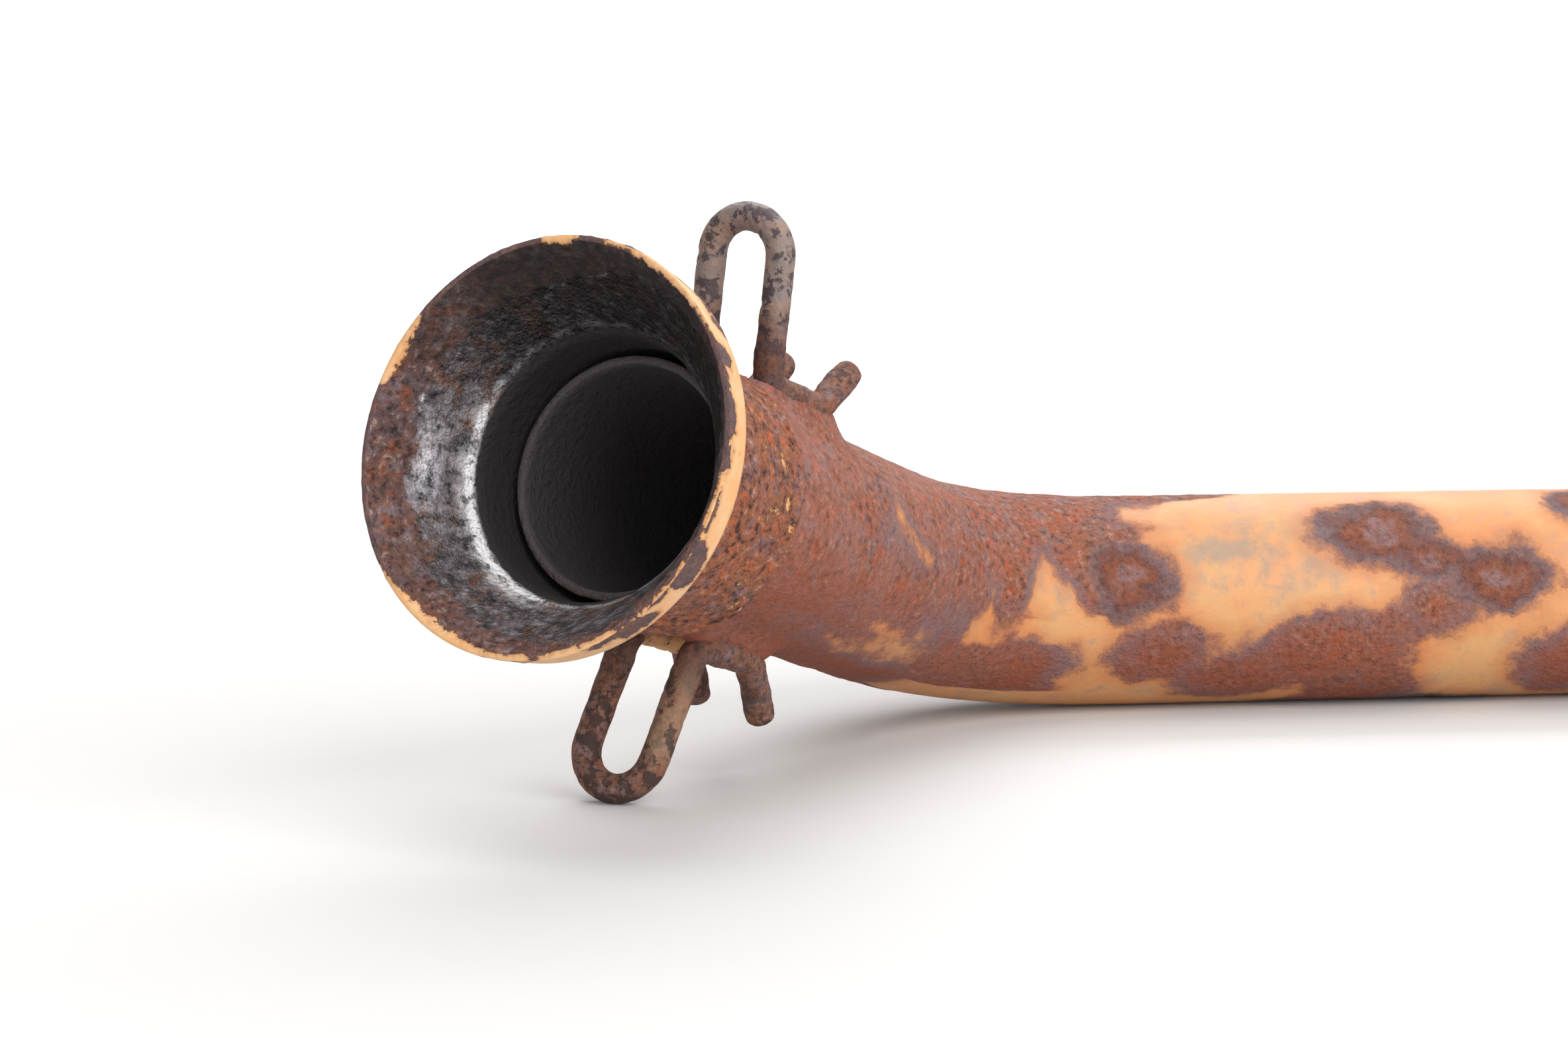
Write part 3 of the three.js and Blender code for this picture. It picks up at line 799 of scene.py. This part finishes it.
def paintedRustyTube():
    # Mild steel tube, sprayed tan and baked by the exhaust's heat: satin paint that has gone grey in places
    # and turned orange along each edge where matt rust has broken through it.
    material, tree, place, maps, noise = newMaterial(
        "heatAgedPaintOverRust", ["paint", "rings", "stain", "mouthSide", "low", "soot"], pipePaint["noise"])
    rust, grit = rustCoat(tree, place, pipeRust)

    # Rust nearer the mouth is more mauve.
    share = addNode(tree, "MapRange", {"Value": noise["broad"], 1: 0.40, 2: 0.60, 4: 0.40})
    share = addNode(tree, "Math", {0: share, 1: maps["mouthSide"]}, operation="MULTIPLY")
    rust = addNode(tree, "Mix", {0: share, 6: rust, 7: pipePaint["mauve"]}, 2, data_type="RGBA")

    # Painted shade: the rust turns a darker, redder brown along the pipe's underside.
    share = addNode(tree, "MapRange", {"Value": noise["wash"], 1: 0.35, 2: 0.55, 3: 0.45, 4: 0.85})
    share = addNode(tree, "Math", {0: share, 1: maps["low"]}, operation="MULTIPLY")
    rust = addNode(tree, "Mix", {0: share, 6: rust, 7: pipePaint["shadedUnderRust"]}, 2, data_type="RGBA")

    # Each ringed spot is a pale middle, a brown ring and a greyish rim, broken up by noise.
    rings = addNode(tree, "Math", {0: noise["fray"], 1: 0.9, 2: maps["rings"]}, operation="MULTIPLY_ADD")
    rings = addNode(tree, "Math", {0: noise["broad"], 1: 0.8, 2: rings}, operation="MULTIPLY_ADD")
    ringTone = addNode(tree, "MapRange", {"Value": rings, 1: 0.75, 2: 2.0})
    ringTone = addNode(tree, "ValToRGB", {"Fac": ringTone}, stops=pipePaint["rings"])
    share = addNode(tree, "MapRange", {"Value": grit, 1: 0.50, 2: 0.34, 4: 0.6})
    ringTone = addNode(tree, "Mix", {0: share, 6: ringTone, 7: pipeRust["dark"][0]}, 2, data_type="RGBA")
    share = addNode(tree, "MapRange", {"Value": rings, 1: 2.0, 2: 1.7, 4: 0.75})
    rust = addNode(tree, "Mix", {0: share, 6: rust, 7: ringTone}, 2, data_type="RGBA")

    # A grey halo on the rust's side of the paint's edge.
    edge = addNode(tree, "Math", {0: noise["fray"], 1: 6.5, 2: maps["paint"]}, operation="MULTIPLY_ADD")
    inner = addNode(tree, "MapRange", {"Value": edge, 1: -1.5, 2: 1.8})
    halo = addNode(tree, "MapRange", {"Value": noise["wash"], 1: 0.42, 2: 0.60, 3: 0.12, 4: 0.65})
    halo = addNode(tree, "Math", {0: inner, 1: halo}, operation="MULTIPLY")
    rust = addNode(tree, "Mix", {0: halo, 6: rust, 7: pipePaint["halo"]}, 2, data_type="RGBA")

    # Tan paint, greyed in clouds, with an orange fringe beside the rust.
    tan = addNode(tree, "ValToRGB", {"Fac": noise["wash"]}, stops=[
        (0.40, pipePaint["warm"]), (0.60, pipePaint["pale"])])
    cloud = addNode(tree, "Math", {0: maps["stain"], 1: 0.16, 2: noise["broad"]}, operation="MULTIPLY_ADD")
    cloud = addNode(tree, "Math", {0: noise["fray"], 1: 0.6, 2: cloud}, operation="MULTIPLY_ADD")
    share = addNode(tree, "MapRange", {"Value": cloud, 1: 0.83, 2: 1.08, 4: 0.72})
    tan = addNode(tree, "Mix", {0: share, 6: tan, 7: pipePaint["greyed"]}, 2, data_type="RGBA")
    share = addNode(tree, "MapRange", {"Value": edge, 1: 7.0, 2: 3.0, 4: 0.75})
    tan = addNode(tree, "Mix", {0: share, 6: tan, 7: pipePaint["fringe"]}, 2, data_type="RGBA")
    share = addNode(tree, "MapRange", {"Value": noise["fray"], 1: 0.58, 2: 0.72, 4: 0.45})
    tan = addNode(tree, "Mix", {0: share, 6: tan, 7: pipePaint["fringe"]}, 2, data_type="RGBA")

    painted = addNode(tree, "MapRange", {"Value": edge, 1: 2.2, 2: 4.1})
    colour = addNode(tree, "Mix", {0: painted, 6: rust, 7: tan}, 2, data_type="RGBA")
    colour = addNode(tree, "Mix", {0: maps["soot"], 6: colour, 7: pipePaint["soot"]}, 2, data_type="RGBA")
    roughness = addNode(tree, "MapRange", {"Value": painted, 3: 0.82, 4: 0.52})
    grain = addNode(tree, "MapRange", {"Value": painted, 3: 1.0, 4: 0.12})
    height = addNode(tree, "Math", {0: grit, 1: grain}, operation="MULTIPLY")
    height = addNode(tree, "Math", {0: painted, 1: 0.25, 2: height}, operation="MULTIPLY_ADD")
    finishMaterial(tree, colour, roughness, height, 1.2)
    return material


collarFinish = dict(
    # On the next line, the two near-white tones are painted highlights, on rubbed steel and on the throat's
    # ash, and the near-black one is painted shade for the flare's upper side.
    lipRust="#51454b", run="#7a5139", rubbedHighlight="#e8e4ea", ashHighlight="#fffdff", paintedUpperShade="#151112", fringe="#a5683c",
    smudge="#96654a", soot="#2b2729",
    noise=dict(fray=(1.7, 5, 0.72), streak=(2.4, 6, 0.74), cloud=(6, 6, 0.70), glint=(0.9, 3, 0.6)),
    steel=[(0.38, "#332e2f"), (0.50, "#625a5c"), (0.64, "#978f92")],
    tan=[(0.42, "#d9a46f"), (0.60, "#dbb083")],
)


def crustedCollarSteel():
    # Pressed steel, coarse scale outside and on the flare's rim where gas leaked past, burnished dark where
    # the mating pipe's gasket sat, with a painted highlight on it, soot behind it, white ash in the throat
    # painted bright as a highlight, painted shade over the flare's upper side, and the lip still in its tan
    # paint.
    material, tree, place, maps, noise = newMaterial(
        "coarseScaleAndSoot",
        ["flare", "depth", "crust", "paint", "burnishHighlight", "throat", "soot", "lip", "paintedUpperShade"],
        collarFinish["noise"])
    outer, outerGrit = rustCoat(tree, place, outerRust)
    inner, innerGrit = rustCoat(tree, place, innerRust)
    share = addNode(tree, "Math", {0: maps["lip"], 1: 0.75}, operation="MULTIPLY")
    outer = addNode(tree, "Mix", {0: share, 6: outer, 7: collarFinish["lipRust"]}, 2, data_type="RGBA")
    rust = addNode(tree, "Mix", {0: maps["flare"], 6: outer, 7: inner}, 2, data_type="RGBA")

    # Dark burnished steel with brown runs; rubbed steel with a painted highlight in one patch; white ash in
    # the throat, painted as the highlight along its rounded edge, and painted glints along the crust's edge.
    bare = addNode(tree, "ValToRGB", {"Fac": noise["streak"]}, stops=collarFinish["steel"])
    share = addNode(tree, "MapRange", {"Value": noise["cloud"], 1: 0.50, 2: 0.62, 4: 0.8})
    bare = addNode(tree, "Mix", {0: share, 6: bare, 7: collarFinish["run"]}, 2, data_type="RGBA")
    rubbedHighlight = addNode(tree, "MapRange", {"Value": noise["streak"], 1: 0.38, 2: 0.58})
    share = addNode(tree, "Math", {0: rubbedHighlight, 1: maps["burnishHighlight"]}, operation="MULTIPLY")
    bare = addNode(tree, "Mix", {0: share, 6: bare, 7: collarFinish["rubbedHighlight"]}, 2, data_type="RGBA")
    ashHighlightNoise = addNode(tree, "MapRange", {"Value": noise["streak"], 1: 0.40, 2: 0.52, 3: 0.25, 4: 1.9})
    share = addNode(tree, "Math", {0: ashHighlightNoise, 1: maps["throat"]}, operation="MULTIPLY")
    bare = addNode(tree, "Mix", {0: share, 6: bare, 7: collarFinish["ashHighlight"]}, 2, data_type="RGBA")
    thick = addNode(tree, "Math", {0: noise["fray"], 1: 4.5, 2: maps["crust"]}, operation="MULTIPLY_ADD")
    thick = addNode(tree, "MapRange", {"Value": thick, 1: 1.8, 2: 2.5})
    rust = addNode(tree, "Mix", {0: thick, 6: bare, 7: rust}, 2, data_type="RGBA")

    # Painted shade: the flare's upper inside, which faces down, is darkened nearly to black.
    share = addNode(tree, "MapRange", {"Value": noise["streak"], 1: 0.35, 2: 0.65, 3: 0.95, 4: 0.76})
    share = addNode(tree, "Math", {0: share, 1: maps["paintedUpperShade"]}, operation="MULTIPLY")
    rust = addNode(tree, "Mix", {0: share, 6: rust, 7: collarFinish["paintedUpperShade"]}, 2, data_type="RGBA")

    # Tan paint on the lip, orange and frayed at its edges.
    edge = addNode(tree, "Math", {0: noise["fray"], 1: 4.2, 2: maps["paint"]}, operation="MULTIPLY_ADD")
    painted = addNode(tree, "MapRange", {"Value": edge, 1: 1.95, 2: 2.3})
    tan = addNode(tree, "ValToRGB", {"Fac": noise["cloud"]}, stops=collarFinish["tan"])
    share = addNode(tree, "MapRange", {"Value": edge, 1: 3.3, 2: 2.2, 4: 0.6})
    tan = addNode(tree, "Mix", {0: share, 6: tan, 7: collarFinish["fringe"]}, 2, data_type="RGBA")
    share = addNode(tree, "MapRange", {"Value": noise["streak"], 1: 0.60, 2: 0.72, 4: 0.4})
    tan = addNode(tree, "Mix", {0: share, 6: tan, 7: collarFinish["smudge"]}, 2, data_type="RGBA")
    colour = addNode(tree, "Mix", {0: painted, 6: rust, 7: tan}, 2, data_type="RGBA")

    # Soot from the throat inwards, with a ragged start.
    black = addNode(tree, "Math", {0: noise["streak"], 1: 2.4, 2: maps["depth"]}, operation="MULTIPLY_ADD")
    black = addNode(tree, "MapRange", {"Value": black, 1: 17.3, 2: 17.9})
    soot = addNode(tree, "Math", {0: maps["soot"], 1: black}, operation="MAXIMUM")
    colour = addNode(tree, "Mix", {0: soot, 6: colour, 7: collarFinish["soot"]}, 2, data_type="RGBA")

    # Only bare steel in the flare is metallic, and less so under the ash and its painted highlight.
    shiny = addNode(tree, "Math", {0: 1.0, 1: thick}, operation="SUBTRACT")
    shiny = addNode(tree, "Math", {0: shiny, 1: maps["flare"]}, operation="MULTIPLY")
    clean = addNode(tree, "Math", {0: 1.0, 1: soot}, operation="SUBTRACT")
    shiny = addNode(tree, "Math", {0: shiny, 1: clean}, operation="MULTIPLY")
    gloss = addNode(tree, "MapRange", {"Value": noise["glint"], 1: 0.35, 2: 0.65, 3: 0.50, 4: 0.28})
    gloss = addNode(tree, "Math", {0: shiny, 1: gloss}, operation="MULTIPLY")
    roughness = addNode(tree, "MapRange", {"Value": painted, 3: 0.86, 4: 0.50})
    roughness = addNode(tree, "Math", {0: roughness, 1: gloss}, operation="SUBTRACT")
    bright = addNode(tree, "MapRange", {"Value": maps["throat"], 3: 0.45, 4: 0.0})
    metallic = addNode(tree, "Math", {0: shiny, 1: bright}, operation="MULTIPLY")
    grain = addNode(tree, "Mix", {0: maps["flare"], 2: outerGrit, 3: innerGrit}, data_type="FLOAT")
    grain = addNode(tree, "Mix", {0: shiny, 2: grain, 3: noise["glint"]}, data_type="FLOAT")
    softened = addNode(tree, "MapRange", {"Value": painted, 3: 1.0, 4: 0.1})
    grain = addNode(tree, "Math", {0: grain, 1: softened}, operation="MULTIPLY")
    height = addNode(tree, "Math", {0: painted, 1: 0.12, 2: grain}, operation="MULTIPLY_ADD")
    finishMaterial(tree, colour, roughness, height, 1.5, metallic)
    return material


# What is left of each hook's paint: its two tones and the spots in it, how bare it is, how much barer on one
# leg, and from where to where above the feet it holds, in mm.
upperCoat = dict(name="greyedPaintOnRod", light="#8c7365", dark="#776b68", spots="#35272e", bareShare=0.26,
                 sideShare=0.0, start=10, end=99, footPaint=0.0)
lowerCoat = dict(name="brownedPaintOnRod", light="#a87a58", dark="#6d5845", spots="#34251f", bareShare=0.50,
                 sideShare=0.08, start=6, end=22, footPaint=0.9)
rodFinish = dict(
    legFoot="#4c2d22", footTan="#d29c69",
    noise=dict(cloud=(6, 6, 0.70), spot=(3.2, 5, 0.68), broad=(12, 4, 0.60)),
)


def rustedRod(coat):
    # Drawn steel rod under what is left of its paint: satin where the paint holds, matt and pitted where it
    # is gone.
    material, tree, place, maps, noise = newMaterial(
        coat["name"], ["above", "side", "fromTip", "foot"], rodFinish["noise"])
    rust, grit = rustCoat(tree, place, rodRust)

    # The paint holds on the loop's legs, between a start and an end that clouds of noise shift.
    paint = addNode(tree, "ValToRGB", {"Fac": noise["cloud"]}, stops=[
        (0.42, coat["light"]), (0.60, coat["dark"])])
    high = addNode(tree, "Math", {0: noise["cloud"], 1: 16, 2: maps["above"]}, operation="MULTIPLY_ADD")
    high = addNode(tree, "MapRange", {"Value": high, 1: coat["start"] + 4, 2: coat["start"] + 12})
    legs = addNode(tree, "MapRange", {"Value": maps["fromTip"], 1: 26, 2: 34})
    high = addNode(tree, "Math", {0: high, 1: legs}, operation="MULTIPLY")
    past = addNode(tree, "Math", {0: noise["cloud"], 1: 9, 2: maps["above"]}, operation="MULTIPLY_ADD")
    past = addNode(tree, "MapRange", {"Value": past, 1: coat["end"] + 6, 2: coat["end"] + 2})
    high = addNode(tree, "Math", {0: high, 1: past}, operation="MULTIPLY")
    kept = addNode(tree, "Math", {
        0: maps["side"], 1: -coat["sideShare"], 2: noise["broad"]}, operation="MULTIPLY_ADD")
    kept = addNode(tree, "MapRange", {"Value": kept, 1: coat["bareShare"], 2: coat["bareShare"] + 0.1})
    worn = addNode(tree, "Math", {0: high, 1: kept}, operation="MULTIPLY")
    colour = addNode(tree, "Mix", {0: worn, 6: rust, 7: paint}, 2, data_type="RGBA")

    # Darker rust at the foot of each leg, and dark spots that fade on the feet.
    base = addNode(tree, "MapRange", {"Value": maps["above"], 1: 15, 2: 4, 4: 0.6})
    base = addNode(tree, "Math", {0: base, 1: legs}, operation="MULTIPLY")
    colour = addNode(tree, "Mix", {0: base, 6: colour, 7: rodFinish["legFoot"]}, 2, data_type="RGBA")
    blotch = addNode(tree, "MapRange", {"Value": noise["spot"], 1: 0.51, 2: 0.56, 4: 0.88})
    share = addNode(tree, "MapRange", {"Value": maps["above"], 1: 1, 2: 9, 3: 0.35, 4: 1.0})
    blotch = addNode(tree, "Math", {0: blotch, 1: share}, operation="MULTIPLY")
    colour = addNode(tree, "Mix", {0: blotch, 6: colour, 7: coat["spots"]}, 2, data_type="RGBA")

    # Paint that is left on a foot.
    share = addNode(tree, "MapRange", {"Value": noise["spot"], 1: 0.60, 2: 0.52, 4: coat["footPaint"]})
    share = addNode(tree, "Math", {0: share, 1: maps["foot"]}, operation="MULTIPLY")
    colour = addNode(tree, "Mix", {0: share, 6: colour, 7: rodFinish["footTan"]}, 2, data_type="RGBA")
    roughness = addNode(tree, "MapRange", {"Value": worn, 3: 0.82, 4: 0.55})
    height = addNode(tree, "Math", {0: blotch, 1: -0.4, 2: grit}, operation="MULTIPLY_ADD")
    finishMaterial(tree, colour, roughness, height, 0.4)
    return material


pieces = []
pipePoints, pipeMaps = pipeSurface()
pieces.append(surfacePiece("rustedPipe", pipePoints, paintedRustyTube(), pipeMaps))
collarPoints, collarMaps = collarSurface()
pieces.append(surfacePiece("rustedCollar", collarPoints, crustedCollarSteel(), collarMaps))
for name, hook, coat in (("upperHookRod", upperHook, upperCoat), ("lowerHookRod", lowerHook, lowerCoat)):
    hookPoints, hookMaps, hookTips = hookSurface(hook)
    pieces.append(surfacePiece(name, hookPoints, rustedRod(coat), hookMaps, hookTips))
replaced = dict(rustedPipe="bent_pipe", rustedCollar="flared_collar", upperHookRod="upper_spring_hook",
                lowerHookRod="lower_spring_hook")
for piece in pieces:
    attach(piece, "root")
    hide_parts(replaced[piece.name])

# The floor runs level under the part and sweeps up behind it, so that no horizon shows. In metres.
sweep = dict(front=-2.2, foot=1.4, radius=0.9, top=3.0, width=5.0, columns=9, bendSteps=17)
paper = dict(clean="#cdcccb", dusty="#c1bebb", dustMm=90)


def studioPaper():
    # Matt white sweep paper, a little dusty where the part has been set down and moved.
    dust = dict(dust=(paper["dustMm"], 5, 0.6))
    material, tree, _, _, noise = newMaterial("whiteSweepPaper", noiseSizes=dust)
    share = addNode(tree, "MapRange", {"Value": noise["dust"], 1: 0.60, 2: 0.78, 4: 0.12})
    colour = addNode(tree, "Mix", {0: share, 6: paper["clean"], 7: paper["dusty"]}, 2, data_type="RGBA")
    finishMaterial(tree, colour, 0.9, noise["dust"], 0.02)
    return material


def sweepFloor():
    # A line, a quarter circle and a line, carried sideways.
    columns = sweep["columns"]
    turn = np.linspace(0, np.pi / 2, sweep["bendSteps"])
    wall = sweep["foot"] + sweep["radius"]
    y = np.concatenate([[sweep["front"]], sweep["foot"] + sweep["radius"] * np.sin(turn), [wall]])
    z = np.concatenate([[0], sweep["radius"] * (1 - np.cos(turn)), [sweep["top"]]])
    x = np.linspace(-sweep["width"] / 2, sweep["width"] / 2, columns)
    grid = np.stack(np.broadcast_arrays(x, y[:, None], z[:, None]), -1)
    index = np.arange(len(y) * columns).reshape(len(y), columns)
    quads = np.stack([index[:-1, :-1], index[:-1, 1:], index[1:, 1:], index[1:, :-1]], -1).reshape(-1, 4)
    mesh = bpy.data.meshes.new("sweepFloor")
    mesh.from_pydata(grid.reshape(-1, 3).tolist(), [], quads.tolist())
    mesh.polygons.foreach_set("use_smooth", np.ones(len(mesh.polygons), bool))
    mesh.materials.append(studioPaper())
    floor = bpy.data.objects.new("sweepFloor", mesh)
    bpy.context.scene.collection.objects.link(floor)


sweepFloor()
print("floor laid")

softBoxes = dict(  # where each one stands, the point it faces, its width in m and its watts
    overheadBox=((-0.1, 0.3, 1.5), (-0.1, 0.05, 0.0), 1.5, 15),
    keyBox=((0.41, -0.95, 0.68), (-0.22, -0.03, 0.05), 1.35, 22),
    mouthFill=((-0.86, -1.0, 0.5), (-0.25, -0.05, 0.06), 0.8, 4.2),
    backdropWash=((0.0, 1.45, 1.4), (0.0, 2.1, 0.0), 1.6, 50),
)
airGlow = 0.26


def softLight(name, place, aim, width, watts):
    # A square soft box that faces the point it is aimed at.
    light = bpy.data.lights.new(name, "AREA")
    light.shape = "SQUARE"
    light.size = width
    light.energy = watts
    lamp = bpy.data.objects.new(name, light)
    lamp.location = place
    direction = np.array(place) - np.array(aim)
    flat = math.hypot(direction[0], direction[1])
    lamp.rotation_euler = (math.atan2(flat, direction[2]), 0, math.atan2(direction[0], -direction[1]))
    bpy.context.scene.collection.objects.link(lamp)


for name, (place, aim, width, watts) in softBoxes.items():
    softLight(name, place, aim, width, watts)
world = bpy.data.worlds.new("studioAir")
world.use_nodes = True
air = world.node_tree.nodes["Background"]
air.inputs["Color"].default_value = linear("#ffffff")
air.inputs["Strength"].default_value = airGlow
bpy.context.scene.world = world
bpy.context.scene.view_settings.view_transform = "Standard"

# Where the photograph was taken from, half a metre in front of the mouth, with its lens on a 36 mm wide
# sensor. Places are in metres and turns in degrees.
viewpoint = dict(
    place=(-0.28732, -0.58475, 0.11655), turn=(83.194, 0.172, -6.5), lens=74.59, sensor=36, clipStart=0.02)
camera = bpy.data.objects.new("camera", bpy.data.cameras.new("camera"))
camera.data.lens = viewpoint["lens"]
camera.data.sensor_width = viewpoint["sensor"]
camera.data.sensor_fit = "HORIZONTAL"
camera.data.clip_start = viewpoint["clipStart"]
camera.location = viewpoint["place"]
camera.rotation_euler = [math.radians(angle) for angle in viewpoint["turn"]]
bpy.context.scene.collection.objects.link(camera)
bpy.context.scene.camera = camera
print("lights and camera placed")
